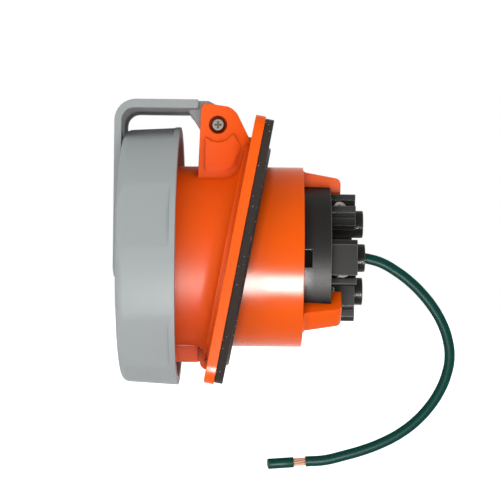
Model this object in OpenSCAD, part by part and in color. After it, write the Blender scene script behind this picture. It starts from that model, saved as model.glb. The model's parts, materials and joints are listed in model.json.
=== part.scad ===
// Angled panel receptacle of the pin and sleeve kind, with a hinged bayonet cap.
// The socket axis runs along X: the cap is at -X, the terminals at +X, the hinge on top at +Z.
// The origin is the centre of the four mounting holes, on the plane where the gasket meets the panel.

/* [Flange] */
// Side of the square mounting flange
flange_w = 109.5; // [104:0.5:118]
// Thickness of the flange plate
flange_t = 4.2; // [3:0.1:6]
// Radius of the flange corners
flange_corner_r = 8; // [4:0.5:14]
// Lean of the flange from square to the socket axis, in degrees
flange_tilt = 10.5; // [6:0.5:14]
// Spacing of the mounting holes, both ways
bolt_pitch = 88; // [84:0.5:94]
// Diameter of the mounting holes
bolt_d = 5.5; // [4:0.1:6.5]
// Diameter of the raised pad round the collar
plateau_d = 97; // [92:0.5:102]
// Height of the raised pad
plateau_h = 2.2; // [1:0.1:4]
// Fillet between the collar and the raised pad
blend_r = 6.5; // [4:0.25:7]

/* [Gasket] */
// Thickness of the panel gasket
gasket_t = 3.4; // [2:0.1:5]
// Step back of the gasket's edge from the flange's edge
gasket_inset = 0.8; // [0.2:0.1:2]
// Height of the lip that enters the panel cut-out
gasket_lip_h = 1; // [0.5:0.1:3]
// Width of that lip
gasket_lip_w = 9.5; // [6:0.5:11]

/* [Collar and barrel] */
// Outside diameter of the collar and the rear barrel
collar_d = 77; // [74:0.5:80]
// Wall of the collar
collar_wall = 2.5; // [2:0.1:3.5]
// Distance from the origin forward to the collar's mouth
collar_reach = 47; // [44:0.5:52]
// Distance from the origin back to the barrel's rear end
barrel_reach = 22.9; // [20:0.1:27]
// Thickness of the barrel's rear wall
rear_wall_t = 3; // [2:0.1:4]
// Drop of the socket axis below the centre of the mounting holes
axis_drop = 2; // [0:0.5:4]
// Width of the keyway ridge under the collar
key_w = 16; // [12:0.5:20]
// Height of that ridge beyond the collar
key_h = 6.7; // [5:0.1:8]
// Length of that ridge, back from the mouth
key_len = 26; // [20:0.5:30]
// Wall round the keyway inside the ridge
key_wall = 2.5; // [1.5:0.1:3]

/* [Snap tongues] */
// Width of a tongue, in degrees round the barrel
tongue_span = 18.5; // [12:0.5:24]
// Angle of the lower tongues from straight down
tongue_angle = 42; // [36:1:50]
// Step of a tongue's root inside the barrel's outside
tongue_step = 2.1; // [1:0.1:3]
// Thickness of a tongue at its tip
tongue_tip_t = 4; // [3:0.1:4.5]
// Length of the hooks behind the terminal block
hook_len = 4.5; // [3:0.1:6]
// Reach of the lower hooks over the terminal block's edge
hook_reach = 7.6; // [5:0.1:8]
// Reach of the top hook, which stops short of the terminal under it
top_hook_reach = 3.5; // [2:0.1:4.5]

/* [Hinge] */
// Distance from the origin forward to the hinge axis
hinge_setback = 13.3; // [11:0.1:15]
// Drop of the hinge axis below the underside of the arm
hinge_below = 6.8; // [6:0.1:8]
// Clear width between the ears
ear_gap = 27; // [22:0.5:30]
// Thickness of each ear
ear_t = 6.5; // [5.5:0.1:8]
// Distance from the hinge axis to the ears' front edge
ear_front = 7.2; // [6.5:0.1:8]
// Forward slope of that edge, in degrees
ear_front_slope = 2.4; // [0:0.2:5]
// Radius of the ears' top round the hinge axis
ear_r = 8.1; // [7.5:0.1:9]
// Height of the ears' front top corner above the hinge axis
ear_peak = 8.8; // [8:0.1:9.5]
// Height of the raised pad on each ear's face
ear_pad_h = 1.1; // [0.5:0.1:2]
// Diameter of the hinge screw
hinge_d = 4; // [3:0.1:5]
// Diameter of the hinge screw's head
hinge_head_d = 5.4; // [5:0.1:6.4]
// Diameter of the counterbore round that head
hinge_bore_d = 7.5; // [7:0.1:8.2]
// Height of that head
hinge_head_h = 2.2; // [1.5:0.1:2.5]
// Depth of the counterbore and of the nut's pocket
hinge_sink = 3; // [2.6:0.1:3.5]
// Width of the hinge nut across its flats
nut_af = 7; // [6:0.1:8]
// Thickness of the hinge nut
nut_t = 2.6; // [2:0.1:2.6]

/* [Arm] */
// Width of the arm
arm_w = 40; // [34:0.5:44]
// Thickness of the arm over the cap
arm_t = 3.7; // [3:0.1:5]
// Thickness of the arm in front of the cap
arm_front_t = 3; // [2.5:0.1:4]
// Outer radius of the arm's bend
arm_bend_r = 9; // [6:0.5:11]
// Finger room between the arm and the cap's rim
finger_gap = 6.7; // [6:0.1:9]
// Reach of the arm's end below the socket axis
arm_end = 9; // [8:0.5:14]
// Width of the lips along the arm's inner edges
arm_lip_w = 3.2; // [2:0.1:5]
// Depth of the channel between the lips
arm_channel = 1.2; // [0.6:0.1:1.6]
// Radius of the knuckle round the hinge screw
knuckle_r = 7.2; // [5.5:0.1:7.5]
// Length of the block that carries the knuckle, forward of the hinge axis
knuckle_len = 12.4; // [11:0.2:15]
// Diameter of the post that the cap turns on
post_d = 12; // [10:0.5:14]

/* [Cap] */
// Room between the keyway ridge and the cap's wall
cap_room = 6.2; // [5:0.1:8]
// Wall of the cap's ring
cap_wall = 3.8; // [3:0.1:5]
// Depth of the cap, front face to rim
cap_depth = 24; // [21:0.5:26]
// Draft of the cap's side, smaller at the front
cap_draft = 1.15; // [0.4:0.05:2]
// Thickness of the cap's front
cap_floor_t = 3.2; // [2.5:0.1:4.5]
// Radius of the cap's front edge
cap_edge_r = 3.4; // [1.5:0.1:4]
// Number of grip flats round the cap
flat_count = 6; // [4:1:8]
// Depth of a grip flat at its middle
flat_depth = 1.5; // [0.6:0.1:2]
// Width of the full round band at the rim
rim_band = 2.6; // [2:0.1:5]
// Thickness of the cap's seal
seal_t = 2.7; // [2:0.1:4]
// Width of the cap's seal
seal_w = 5; // [4:0.1:7]
// Diameter of the washer that holds the cap on its post
washer_d = 22; // [18:0.5:26]
// Thickness of that washer
washer_t = 1.2; // [0.8:0.1:2]

/* [Bayonet] */
// Length of a bayonet lug along the socket
lug_len = 4; // [3:0.1:5]
// Height of the collar's lugs
lug_h = 6; // [5:0.1:6.5]
// Room under the cap's lugs, which lets the cap swing off the collar
lug_room = 3.4; // [3:0.1:4]
// Width of a lug, in degrees round the socket
lug_span = 17; // [12:0.5:20]
// Distance from the mouth back to the collar's lugs
lug_setback = 3; // [2:0.1:3.5]
// Turn of the cap from free to locked, in degrees
lock_turn = 36; // [30:1:40]

/* [Contacts] */
// Diameter of a line pin
pin_d = 8; // [7:0.1:8.5]
// Diameter of the ground pin
ground_pin_d = 10; // [9:0.1:10.5]
// Radius of the circle that the contacts stand on
contact_circle_r = 14.4; // [13.5:0.1:15]
// Wall of a contact sleeve
sleeve_wall = 1.5; // [1.2:0.1:1.8]
// Depth of a sleeve's bore
sleeve_bore_len = 32; // [26:0.5:38]
// Width of the slots in a sleeve's mouth
sleeve_slot_w = 1; // [0.6:0.1:1.4]
// Length of those slots
sleeve_slot_len = 20; // [14:0.5:24]
// Width of a spring ring
spring_w = 4; // [3:0.1:6]
// Thickness of a spring ring
spring_t = 1; // [0.7:0.1:1.1]
// Diameter of the contact insert
insert_d = 56; // [54:0.5:57]
// Recess of the insert's face behind the collar's mouth
insert_recess = 7; // [6:0.5:10]
// Thickness of the insert's front wall over the sleeves
insert_front_t = 3; // [2:0.1:4]
// Section of the insert's sealing ring
oring_d = 1.4; // [1:0.1:1.8]

/* [Terminals] */
// Diameter of the terminal block's disc
disc_d = 60; // [59:0.5:61]
// Thickness of that disc
disc_t = 11.5; // [10:0.1:13]
// Length of the terminal pods behind the disc
pod_len = 10.8; // [9.5:0.1:12.5]
// Distance from the socket axis to the pods' outer faces
pod_r = 27; // [26.5:0.1:28]
// Outer diameter of a wire boss
boss_d = 11.7; // [11:0.1:13]
// Length of a wire boss beyond the pod
boss_len = 3.6; // [2:0.1:5]
// Diameter of the wire holes of the line terminals
wire_hole_d = 7.4; // [6.5:0.1:8]
// Diameter of a terminal screw
clamp_d = 3.2; // [2.5:0.1:3.5]
// Diameter of a terminal screw's head
clamp_head_d = 6.2; // [5:0.1:6.4]
// Height of that head
clamp_head_h = 2; // [1.5:0.1:2.2]
// Diameter of the two screws that hold the insert
insert_screw_d = 3; // [2.5:0.1:3.5]

/* [Ground lead] */
// Outer diameter of the green lead
lead_d = 4.4; // [4:0.1:4.8]
// Diameter of its copper
copper_d = 3.4; // [2.8:0.1:3.6]
// Length of copper left bare near its end
strip_len = 5; // [3:0.1:8]
// Length of the slug of insulation left on its end
slug_len = 11.4; // [8:0.1:15]

/* [Clearances] */
// Gap between flat faces that seat on each other
seat_gap = 0.05; // [0.02:0.01:0.1]
// Radial clearance of a screw in its hole
screw_fit = 0.06; // [0.03:0.01:0.1]
// Radial running clearance of the hinge and the cap's post
running_fit = 0.06; // [0.03:0.01:0.09]
// Radial clearance of a sleeve's bore round its pin
pin_fit = 0.05; // [0.02:0.01:0.09]
// Clearance round pieces that slide into a pocket
slip_fit = 0.2; // [0.1:0.02:0.3]
// Gap between pieces that move past each other
move_gap = 0.4; // [0.3:0.05:0.6]

/* [Hidden] */
$fn = 96;

orange = [0.90, 0.34, 0.12];
grey = [0.62, 0.64, 0.64];
black = [0.16, 0.16, 0.16];
rubber = [0.24, 0.22, 0.21];
steel = [0.72, 0.72, 0.70];
brass = [0.78, 0.64, 0.34];
green = [0.07, 0.27, 0.24];
copper = [0.85, 0.55, 0.42];

// Overlap of solids that are joined into one piece, and overrun of cutters
sink = 0.5;

// Flange
stack_t = gasket_t + flange_t;
gasket_lip_taper = 1;
pad_front = stack_t + plateau_h;

// Collar and barrel
collar_r = collar_d / 2;
bore_r = collar_r - collar_wall;
mouth_x = -collar_reach;
key_r = collar_r + key_h;
insert_r = insert_d / 2;
disc_r = disc_d / 2;
tongue_r = disc_r + slip_fit;
disc_front_x = barrel_reach + seat_gap;
disc_rear_x = disc_front_x + disc_t;
hook_x = disc_rear_x + seat_gap;

// Cap, arm and hinge, worked out from the collar outwards
seal_x = mouth_x - move_gap;
floor_x = seal_x - seal_t;
cap_front_x = floor_x - cap_floor_t;
rim_x = cap_front_x + cap_depth;
cap_inner_r = key_r + cap_room;
cap_r = cap_inner_r + cap_wall;
cap_front_r = cap_r - cap_draft;
cap_slope = atan(cap_draft / cap_depth);
seal_mid = collar_r - collar_wall / 2;
arm_inner_x = cap_front_x - move_gap;
arm_outer_x = arm_inner_x - arm_front_t;
arm_under_z = cap_r + finger_gap - axis_drop;
arm_top_z = arm_under_z + arm_t;
arm_bend_room = 1;
arm_inner_bend_r = max(arm_bend_r - arm_t, arm_channel + arm_bend_room);
hinge_x = -hinge_setback;
hinge_z = arm_under_z - hinge_below;
ear_in = ear_gap / 2;
ear_out = ear_in + ear_t;
ear_corner_r = 2.5;
ear_bevel_in = 0.4;
ear_bevel_x = hinge_x + ear_r - ear_bevel_in;
ear_bevel_angle = 38;
ear_shoulder = 1.3;
ear_fall = 63.5;
pad_edge = 2.1;
pad_chamfer = 1.9;
pad_wrap = 1.2;
pad_rim = 0.7;
pad_hollow_r = ear_r - pad_rim;
ear_sweep_r = norm([ear_front - ear_corner_r, ear_peak - ear_corner_r]) + ear_corner_r;
knuckle_w = ear_gap - 2 * move_gap;
knuckle_x = hinge_x - knuckle_len;
strap_end_x = hinge_x - sqrt(max((ear_sweep_r + move_gap) ^ 2 - hinge_below ^ 2, ear_front ^ 2));
post_r = post_d / 2;
washer_x = floor_x + seat_gap + move_gap;
pivot_d = hinge_d;
pivot_head_extra = 1;
pivot_head_d = hinge_head_d + pivot_head_extra;
pivot_head_h = hinge_head_h;

// Bayonet
lug_x = mouth_x + lug_setback;
lug_r = collar_r + lug_h;
cap_lug_x = lug_x + lug_len + move_gap;
cap_lug_r = collar_r + lug_room;
cap_lug_angle = lock_turn + lug_span / 2;

// Contacts
insert_front_x = mouth_x + insert_recess;
insert_rear_x = disc_front_x - seat_gap;
oring_x = barrel_reach - rear_wall_t / 2;
funnel_w = 1.2;
sleeve_x = insert_front_x + insert_front_t + seat_gap;
shoulder_t = 3;
shoulder_w = 1.6;
sleeve_pocket = spring_t + slip_fit;
groove_deep = 0.5;
groove_setback = 4;
groove_x = sleeve_x + groove_setback;
spring_split = 1.2;
tail_r = 4.5;
tail_setback = 2;
tail_end_x = disc_rear_x + pod_len - tail_setback;
tail_hole_r = 3;
tail_hole_len = 12;

// Terminals
pod_rear_x = disc_rear_x + pod_len;
boss_rear_x = pod_rear_x + boss_len;
pod_floor = 2.6;
pod_floor_r = contact_circle_r - pod_floor;
pod_left = -6.2;
pod_right = 7.6;
lip_out = 1;
lip_left = pod_left - lip_out;
lip_deep = 2.6;
rib_left = -11;
rib_right = pod_left - seat_gap - clamp_head_h - slip_fit;
rib_foot = 0.8;
rib_shelf = 2;
rib_top = 7.6;
rib_groove_rise = [2.5, 4.8];
side_groove_rise = [5.9, 7.5];
rib_foot_r = contact_circle_r - rib_foot;
rib_shelf_r = contact_circle_r + rib_shelf;
rib_top_r = contact_circle_r + rib_top;
rib_groove = [for (rise = rib_groove_rise) contact_circle_r + rise];
side_groove = [for (rise = side_groove_rise) contact_circle_r + rise];
groove_cut = 1;
clamp_setback = 4;
clamp_rise = 6.4;
clamp_x = disc_rear_x + clamp_setback;
clamp_r = contact_circle_r + clamp_rise;
lug_half = 2;
lug_end_wall = 2;
lug_side_wall = 1.5;
lug_reach = clamp_r + clamp_d / 2 + lug_end_wall;
lug_w = clamp_d + 2 * lug_side_wall;
insert_screw_r = 18.9;
insert_screw_head_d = 1.8 * insert_screw_d;
insert_screw_angle = 37.5;
insert_screw_head_h = 2;
insert_screw_grip = 12;
insert_screw_short = 1;

// Ground lead: its route lies in one upright plane through the ground terminal
lead_y = -contact_circle_r;
lead_start = [for (p = [[-3, 0], [-0.5, 0], [2, -0.4]]) [boss_rear_x, -axis_drop] + p];
lead_route = [
    [56, -3.9], [62, -7.2], [68, -11.6], [73.4, -16.8], [78.2, -22.8], [82, -29.4], [84.4, -36.4],
    [85.2, -43.6], [84, -50.6], [81.2, -57.6], [77, -64.2], [71.6, -70.2], [65, -75.4], [57.4, -79.6],
    [49.4, -82.8], [41.4, -85.2]
];
lead_end = unit([-13, -1]);
lead_straight = 8;
strip_from = [25, -87.9];
strip_to = strip_from + strip_len * lead_end;
slug_end = strip_to + slug_len * lead_end;
cord_sides = 12;

function unit(v) = v / norm(v);

// Points of an arc in a plane
function arc(c, r, from, to, steps = 8) =
    [for (i = [0:steps]) c + r * [cos(from + (to - from) * i / steps), sin(from + (to - from) * i / steps)]];

// Moves to the socket axis, with the children's Z along +X
module on_axis() {
    translate([0, 0, -axis_drop]) rotate([0, 90, 0]) children();
}

// Moves to the mounting plane, with the children's Z pointing back into the panel
module on_flange() {
    rotate([0, 90 + flange_tilt, 0]) children();
}

// A disc or tube on the socket axis, between two places along X
module axial(x1, x2, r) {
    on_axis() translate([0, 0, x1]) cylinder(h = x2 - x1, r = r);
}

// The four-fold place of one terminal: 0 top, 1 near, 2 bottom, 3 far
module at_terminal(turn) {
    translate([0, 0, -axis_drop]) rotate([90 * turn, 0, 0]) children();
}

// A cylinder along X at a contact's place
module contact_rod(x1, x2, r) {
    translate([x1, 0, contact_circle_r]) rotate([0, 90, 0]) cylinder(h = x2 - x1, r = r);
}

module rounded_square(w, r) {
    square([w, w - 2 * r], center = true);
    square([w - 2 * r, w], center = true);
    for (sx = [-1, 1], sy = [-1, 1]) translate([sx, sy] * (w / 2 - r)) circle(r);
}

module bolt_holes(depth) {
    for (sx = [-1, 1], sy = [-1, 1])
        translate([sx * bolt_pitch / 2, sy * bolt_pitch / 2, -depth]) cylinder(h = 2 * depth, d = bolt_d);
}

// A ring sector on the socket axis, centred on an angle counted from straight down
module sector(angle, span) {
    on_axis() rotate([0, 0, angle - span / 2]) rotate_extrude(angle = span) children();
}

// Fillet round the collar's foot: a ring sheared along X so that it lies on the leaning pad
module collar_blend() {
    lean = tan(flange_tilt);
    foot_x = -pad_front / cos(flange_tilt) - axis_drop * lean;
    profile = concat(
        [[collar_r - sink, sink], [collar_r + blend_r, sink]],
        arc([collar_r + blend_r, -blend_r], blend_r, 90, 180),
        [[collar_r - sink, -blend_r]]
    );
    translate([foot_x, 0, -axis_drop])
        multmatrix([[1, 0, lean, 0], [0, 1, 0, 0], [0, 0, 1, 0], [0, 0, 0, 1]])
            rotate([0, 90, 0]) rotate_extrude($fn = 72) polygon(profile);
}

// Side outline of a hinge ear, as seen from the near side, X to the right and Z up
function ear_outline() =
    let (
        foot_z = bore_r * 0.6 - axis_drop,
        front = hinge_x - ear_front,
        foot_front = front - (hinge_z - foot_z) * tan(ear_front_slope),
        peak = [front + ear_corner_r, hinge_z + ear_peak - ear_corner_r],
        crest = arc([hinge_x + ear_shoulder, hinge_z], ear_r, 72, 90 - ear_fall),
        fall_from = crest[len(crest) - 1]
    )
    concat(
        [[foot_front, foot_z]],
        arc(peak, ear_corner_r, 180, 80),
        crest,
        [[fall_from[0] + (fall_from[1] - foot_z) / tan(ear_fall), foot_z]]
    );

// Outline of the raised pad on an ear's face, its foot and rear edge drawn in
module pad_outline(inset) {
    corner_r = 7;
    left = hinge_x - ear_front + pad_edge;
    right = ear_bevel_x + pad_wrap;
    low = sqrt(collar_r ^ 2 - ear_out ^ 2) - axis_drop + pad_edge;
    top = hinge_z - ear_r / 2;
    polygon(concat(
        [[left, top], [left, low + inset]],
        arc([right - corner_r, low + corner_r], corner_r - inset, -90, 0, 6),
        [[right - inset + (inset > 0 ? 0 : pad_wrap), low + 1.5 * corner_r], [ear_bevel_x - pad_wrap, top]]
    ));
}

// Raised pad with a chamfered foot, hollowed round the hinge screw and wrapped over the ear's bevel
module ear_pad() {
    difference() {
        hull() {
            upright(-ear_out, 2 * ear_pad_h - ear_out) pad_outline(0);
            upright(-ear_out - ear_pad_h, -ear_out) pad_outline(pad_chamfer);
        }
        translate([hinge_x, -ear_in, hinge_z]) rotate([90, 0, 0])
            cylinder(h = ear_out, r = pad_hollow_r);
    }
}

module upright(y1, y2) {
    translate([0, y2, 0]) rotate([90, 0, 0]) linear_extrude(y2 - y1) children();
}

module ears() {
    for (side = [0, 1]) mirror([0, side, 0]) {
        difference() {
            upright(-ear_out, -ear_in) polygon(ear_outline());
            translate([ear_bevel_x, -ear_out, 0]) rotate([0, 0, -ear_bevel_angle])
                translate([0, -2 * ear_t, 0]) cube([flange_w, 2 * ear_t, flange_w]);
            on_flange() translate([-flange_w, -flange_w, -gasket_t - flange_t / 2]) cube(2 * flange_w);
        }
        ear_pad();
    }
}

// Screw hole through both ears, with a round counterbore near and a hexagon pocket far
module hinge_cuts() {
    translate([hinge_x, 0, hinge_z]) rotate([-90, 0, 0]) {
        translate([0, 0, -2 * ear_out]) cylinder(h = 4 * ear_out, r = hinge_d / 2 + screw_fit);
        translate([0, 0, -2 * ear_out])
            cylinder(h = ear_out + hinge_sink, d = hinge_bore_d);
        translate([0, 0, ear_out - hinge_sink])
            cylinder(h = ear_out, d = (nut_af + 2 * slip_fit) / cos(30), $fn = 6);
    }
}

module tongue(reach) {
    root_r = collar_r - tongue_step;
    tip_r = tongue_r + tongue_tip_t;
    end_x = hook_x + hook_len;
    root_x = barrel_reach - rear_wall_t;
    round_r = 2.4;
    fillet = tongue_step * 0.85;
    polygon(concat(
        [[tongue_r, root_x], [root_r + fillet, root_x]],
        arc([root_r + fillet, barrel_reach + fillet], fillet, 270, 180, 6),
        arc([tip_r - round_r, end_x - round_r], round_r, 12, 90, 6),
        [[disc_r - reach, end_x], [disc_r - reach, hook_x], [tongue_r, hook_x]]
    ));
}

module key_ridge() {
    chamfer = key_h * 0.45;
    half = key_w / 2;
    foot = bore_r * 0.9;
    on_axis() translate([0, 0, mouth_x]) linear_extrude(key_len) polygon([
        [foot, -half], [key_r - chamfer, -half], [key_r, -half + chamfer / 2],
        [key_r, half - chamfer / 2], [key_r - chamfer, half], [foot, half]
    ]);
}

module keyway() {
    half = key_w / 2 - key_wall;
    on_axis() translate([0, -half, mouth_x - sink])
        cube([key_r - key_wall, 2 * half, key_len - key_wall + sink]);
}

module housing() {
    color(orange) difference() {
        union() {
            on_flange() {
                translate([0, 0, -stack_t]) linear_extrude(flange_t)
                    rounded_square(flange_w, flange_corner_r);
                translate([0, 0, -pad_front]) cylinder(h = plateau_h + sink, d = plateau_d);
            }
            axial(mouth_x, barrel_reach, collar_r);
            collar_blend();
            ears();
            key_ridge();
            for (angle = [90, -90])
                sector(angle, lug_span) translate([bore_r + sink, lug_x])
                    square([lug_r - bore_r - sink, lug_len]);
            sector(180, tongue_span) tongue(top_hook_reach);
            for (angle = [tongue_angle, -tongue_angle]) sector(angle, tongue_span) tongue(hook_reach);
        }
        axial(mouth_x - sink, barrel_reach - rear_wall_t, bore_r);
        axial(barrel_reach - rear_wall_t - sink, barrel_reach + sink, insert_r + slip_fit);
        insert_screw_places() translate([0, 0, disc_rear_x])
            cylinder(h = seat_gap + hook_len + sink, r = insert_screw_head_d / 2 + slip_fit);
        keyway();
        on_flange() bolt_holes(pad_front + sink);
        hinge_cuts();
    }
}

module flange_gasket() {
    lip_r = collar_r + gasket_lip_w;
    color(rubber) difference() {
        union() {
            on_flange() translate([0, 0, -gasket_t + seat_gap]) linear_extrude(gasket_t - seat_gap)
                rounded_square(flange_w - 2 * gasket_inset, flange_corner_r - gasket_inset);
            on_flange() translate([axis_drop, 0, -sink])
                cylinder(h = gasket_lip_h + sink, r1 = lip_r, r2 = lip_r - gasket_lip_taper);
        }
        axial(-flange_w, flange_w, collar_r + slip_fit);
        on_flange() bolt_holes(gasket_t + gasket_lip_h);
    }
}

function pin_r(turn) = (turn == 1 ? ground_pin_d : pin_d) / 2;
function sleeve_r(turn) = pin_r(turn) + pin_fit + sleeve_wall;

// Cut that leads a pin through the insert's face into its sleeve
module pin_funnel(turn) {
    hole_r = pin_r(turn) + 2 * slip_fit;
    over = sink * funnel_w / insert_front_t;
    translate([insert_front_x - sink, 0, contact_circle_r]) rotate([0, 90, 0])
        cylinder(h = insert_front_t + 2 * sink, r1 = hole_r + funnel_w + over, r2 = hole_r - over);
}

module contact_insert() {
    groove = oring_d / 2 + slip_fit;
    rear_x = insert_rear_x + sink;
    chamfer = 1.5;
    color(black) difference() {
        on_axis() rotate_extrude() polygon([
            [0, insert_front_x], [insert_r - chamfer, insert_front_x], [insert_r, insert_front_x + chamfer],
            [insert_r, oring_x - groove], [insert_r - oring_d, oring_x - groove],
            [insert_r - oring_d, oring_x + groove], [insert_r, oring_x + groove],
            [insert_r, insert_rear_x], [0, insert_rear_x]
        ]);
        for (turn = [0:3]) at_terminal(turn) {
            pin_funnel(turn);
            contact_rod(insert_front_x + insert_front_t, rear_x, sleeve_r(turn) + sleeve_pocket);
            contact_rod(insert_rear_x - shoulder_t, rear_x, sleeve_r(turn) + shoulder_w + slip_fit);
        }
        insert_screw_places() translate([0, 0, insert_rear_x - insert_screw_grip])
            cylinder(h = insert_screw_grip + sink, r = insert_screw_d / 2 + screw_fit);
    }
}

// The two places, between the pods, of the screws that join the insert and the terminal block
module insert_screw_places() {
    on_axis() for (angle = [180, 0]) rotate([0, 0, angle - insert_screw_angle])
        translate([insert_screw_r, 0, 0]) children();
}

module insert_oring() {
    color(rubber) on_axis() translate([0, 0, oring_x])
        rotate_extrude() translate([insert_r - oring_d / 2 + slip_fit / 2, 0]) circle(d = oring_d, $fn = 24);
}

// One pod in its top place: block, lip over the screw, grooved rib beside it, and the wire boss
module pod() {
    bevel = 2;
    translate([disc_rear_x - sink, 0, 0]) rotate([90, 0, 90]) linear_extrude(pod_len + sink) {
        polygon([
            [pod_left, pod_floor_r], [pod_right, pod_floor_r],
            [pod_right, side_groove[0]], [pod_right - groove_cut, side_groove[0]],
            [pod_right - groove_cut, side_groove[1]], [pod_right, side_groove[1]],
            [pod_right, pod_r - bevel], [pod_right - bevel, pod_r],
            [lip_left, pod_r], [lip_left, pod_r - lip_deep], [pod_left, pod_r - lip_deep]
        ]);
        polygon([
            [pod_left + sink, rib_foot_r], [rib_left, rib_foot_r], [rib_left, rib_groove[0]],
            [rib_left + groove_cut, rib_groove[0]], [rib_left + groove_cut, rib_groove[1]],
            [rib_left, rib_groove[1]], [rib_left, rib_top_r],
            [rib_right, rib_top_r], [rib_right, rib_shelf_r], [pod_left + sink, rib_shelf_r]
        ]);
    }
    contact_rod(disc_rear_x - sink, boss_rear_x, boss_d / 2);
}

// Room in a pod for the sleeve's tail, its lug, the screw and the wire
module pod_cuts(turn) {
    wire_r = turn == 1 ? lead_d / 2 + slip_fit : wire_hole_d / 2;
    contact_rod(disc_front_x - sink, tail_end_x + seat_gap, tail_r + slip_fit);
    contact_rod(tail_end_x - sink, boss_rear_x + sink, wire_r);
    translate([disc_front_x - sink, -lug_half - slip_fit, contact_circle_r])
        cube([clamp_x + lug_w / 2 + slip_fit - disc_front_x + sink, 2 * (lug_half + slip_fit),
              lug_reach + slip_fit - contact_circle_r]);
    translate([clamp_x, pod_left - sink, clamp_r]) rotate([-90, 0, 0])
        cylinder(h = -pod_left + sink, r = clamp_d / 2 + slip_fit);
}

module terminal_block() {
    notch = [3.5, 3, 7.4];
    notch_drop = 4;
    notch_z = -axis_drop - notch_drop;
    color(black) difference() {
        union() {
            axial(disc_front_x, disc_rear_x, disc_r);
            intersection() {
                for (turn = [0:3]) at_terminal(turn) pod();
                axial(disc_front_x, boss_rear_x + sink, disc_r);
            }
        }
        for (turn = [0:3]) at_terminal(turn) pod_cuts(turn);
        sector(180, tongue_span + 2) translate([disc_r - top_hook_reach - slip_fit, disc_rear_x])
            square([top_hook_reach + slip_fit, hook_len + seat_gap + slip_fit]);
        for (angle = [tongue_angle, -tongue_angle]) sector(angle, tongue_span + 2)
            translate([disc_r - hook_reach - slip_fit, hook_x])
                square([hook_reach + slip_fit, hook_len + slip_fit]);
        for (side = [-1, 1]) translate([disc_front_x - sink, side * disc_r - notch[1], notch_z])
            cube(notch + [sink, notch[1], 0]);
        insert_screw_places() translate([0, 0, disc_front_x - sink])
            cylinder(h = disc_t + 2 * sink, r = insert_screw_d / 2 + screw_fit);
    }
}

// Turned sleeve with a slotted mouth, a shoulder, a wire tail and a tapped lug
module contact_sleeve(turn) {
    r = sleeve_r(turn);
    shoulder_x = insert_rear_x - shoulder_t + seat_gap;
    color(brass) at_terminal(turn) difference() {
        union() {
            translate([0, 0, contact_circle_r]) rotate([0, 90, 0]) rotate_extrude($fn = 64) polygon([
                [0, sleeve_x], [r, sleeve_x], [r, groove_x], [r - groove_deep, groove_x],
                [r - groove_deep, groove_x + spring_w + slip_fit], [r, groove_x + spring_w + slip_fit],
                [r, shoulder_x], [r + shoulder_w, shoulder_x], [r + shoulder_w, insert_rear_x],
                [tail_r, insert_rear_x], [tail_r, tail_end_x], [0, tail_end_x]
            ]);
            translate([clamp_x - lug_w / 2, -lug_half, contact_circle_r])
                cube([lug_w, 2 * lug_half, lug_reach - contact_circle_r]);
        }
        contact_rod(sleeve_x - sink, sleeve_x + sleeve_bore_len, pin_r(turn) + pin_fit);
        contact_rod(tail_end_x - tail_hole_len, tail_end_x + sink, tail_hole_r);
        for (turn_slot = [0, 90]) translate([sleeve_x - sink, 0, contact_circle_r]) rotate([turn_slot, 0, 0])
            translate([0, -sleeve_slot_w / 2, -2 * r]) cube([sleeve_slot_len + sink, sleeve_slot_w, 4 * r]);
        translate([clamp_x, -lug_half - sink, clamp_r]) rotate([-90, 0, 0])
            cylinder(h = 2 * (lug_half + sink), r = clamp_d / 2 + screw_fit);
    }
}

// Split spring ring in the groove round a sleeve's mouth
module sleeve_spring(turn) {
    inner_r = sleeve_r(turn) - groove_deep + screw_fit;
    color(steel) at_terminal(turn) translate([groove_x + slip_fit / 2, 0, contact_circle_r]) difference() {
        rotate([0, 90, 0]) difference() {
            cylinder(h = spring_w, r = inner_r + spring_t, $fn = 64);
            translate([0, 0, -sink]) cylinder(h = spring_w + 2 * sink, r = inner_r, $fn = 64);
        }
        rotate([45, 0, 0]) translate([-sink, -spring_split / 2, 0])
            cube([spring_w + 2 * sink, spring_split, 2 * inner_r]);
    }
}

// Pan head with a cross recess, its seat at Z = 0 and its crown down to -h
module cross_head(d, h) {
    crown = h * 0.4;
    difference() {
        rotate_extrude($fn = 64) polygon(concat(
            [[0, 0], [d / 2, 0], [d / 2, crown - h]],
            arc([d / 2 - crown, crown - h], crown, 0, -60, 4),
            [[0, -h]]
        ));
        for (turn = [0, 90]) rotate([0, 0, turn])
            translate([-d * 0.27, -d * 0.06, -h - sink]) cube([d * 0.54, d * 0.12, h * 0.6 + sink]);
    }
}

module clamp_screw(turn) {
    color(steel) at_terminal(turn) translate([clamp_x, pod_left - seat_gap, clamp_r]) rotate([-90, 0, 0]) {
        cross_head(clamp_head_d, clamp_head_h);
        cylinder(h = lug_half - pod_left, d = clamp_d, $fn = 48);
    }
}

module insert_screws() {
    color(steel) insert_screw_places() translate([0, 0, disc_rear_x + seat_gap]) rotate([180, 0, 0]) {
        cross_head(insert_screw_head_d, insert_screw_head_h);
        cylinder(h = disc_t + insert_screw_grip - insert_screw_short, d = insert_screw_d, $fn = 48);
    }
}

module hinge_screw() {
    color(steel) translate([hinge_x, -ear_out + hinge_sink - seat_gap, hinge_z]) rotate([-90, 0, 0]) {
        cross_head(hinge_head_d, hinge_head_h);
        cylinder(h = 2 * (ear_out - hinge_sink) + nut_t, d = hinge_d, $fn = 48);
    }
}

module hinge_nut() {
    nut_y = ear_out - hinge_sink + seat_gap;
    color(steel) translate([hinge_x, nut_y, hinge_z]) rotate([-90, 0, 0]) difference() {
        cylinder(h = nut_t, d = nut_af / cos(30), $fn = 6);
        translate([0, 0, -sink]) cylinder(h = nut_t + 2 * sink, r = hinge_d / 2 + screw_fit, $fn = 48);
    }
}

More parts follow.
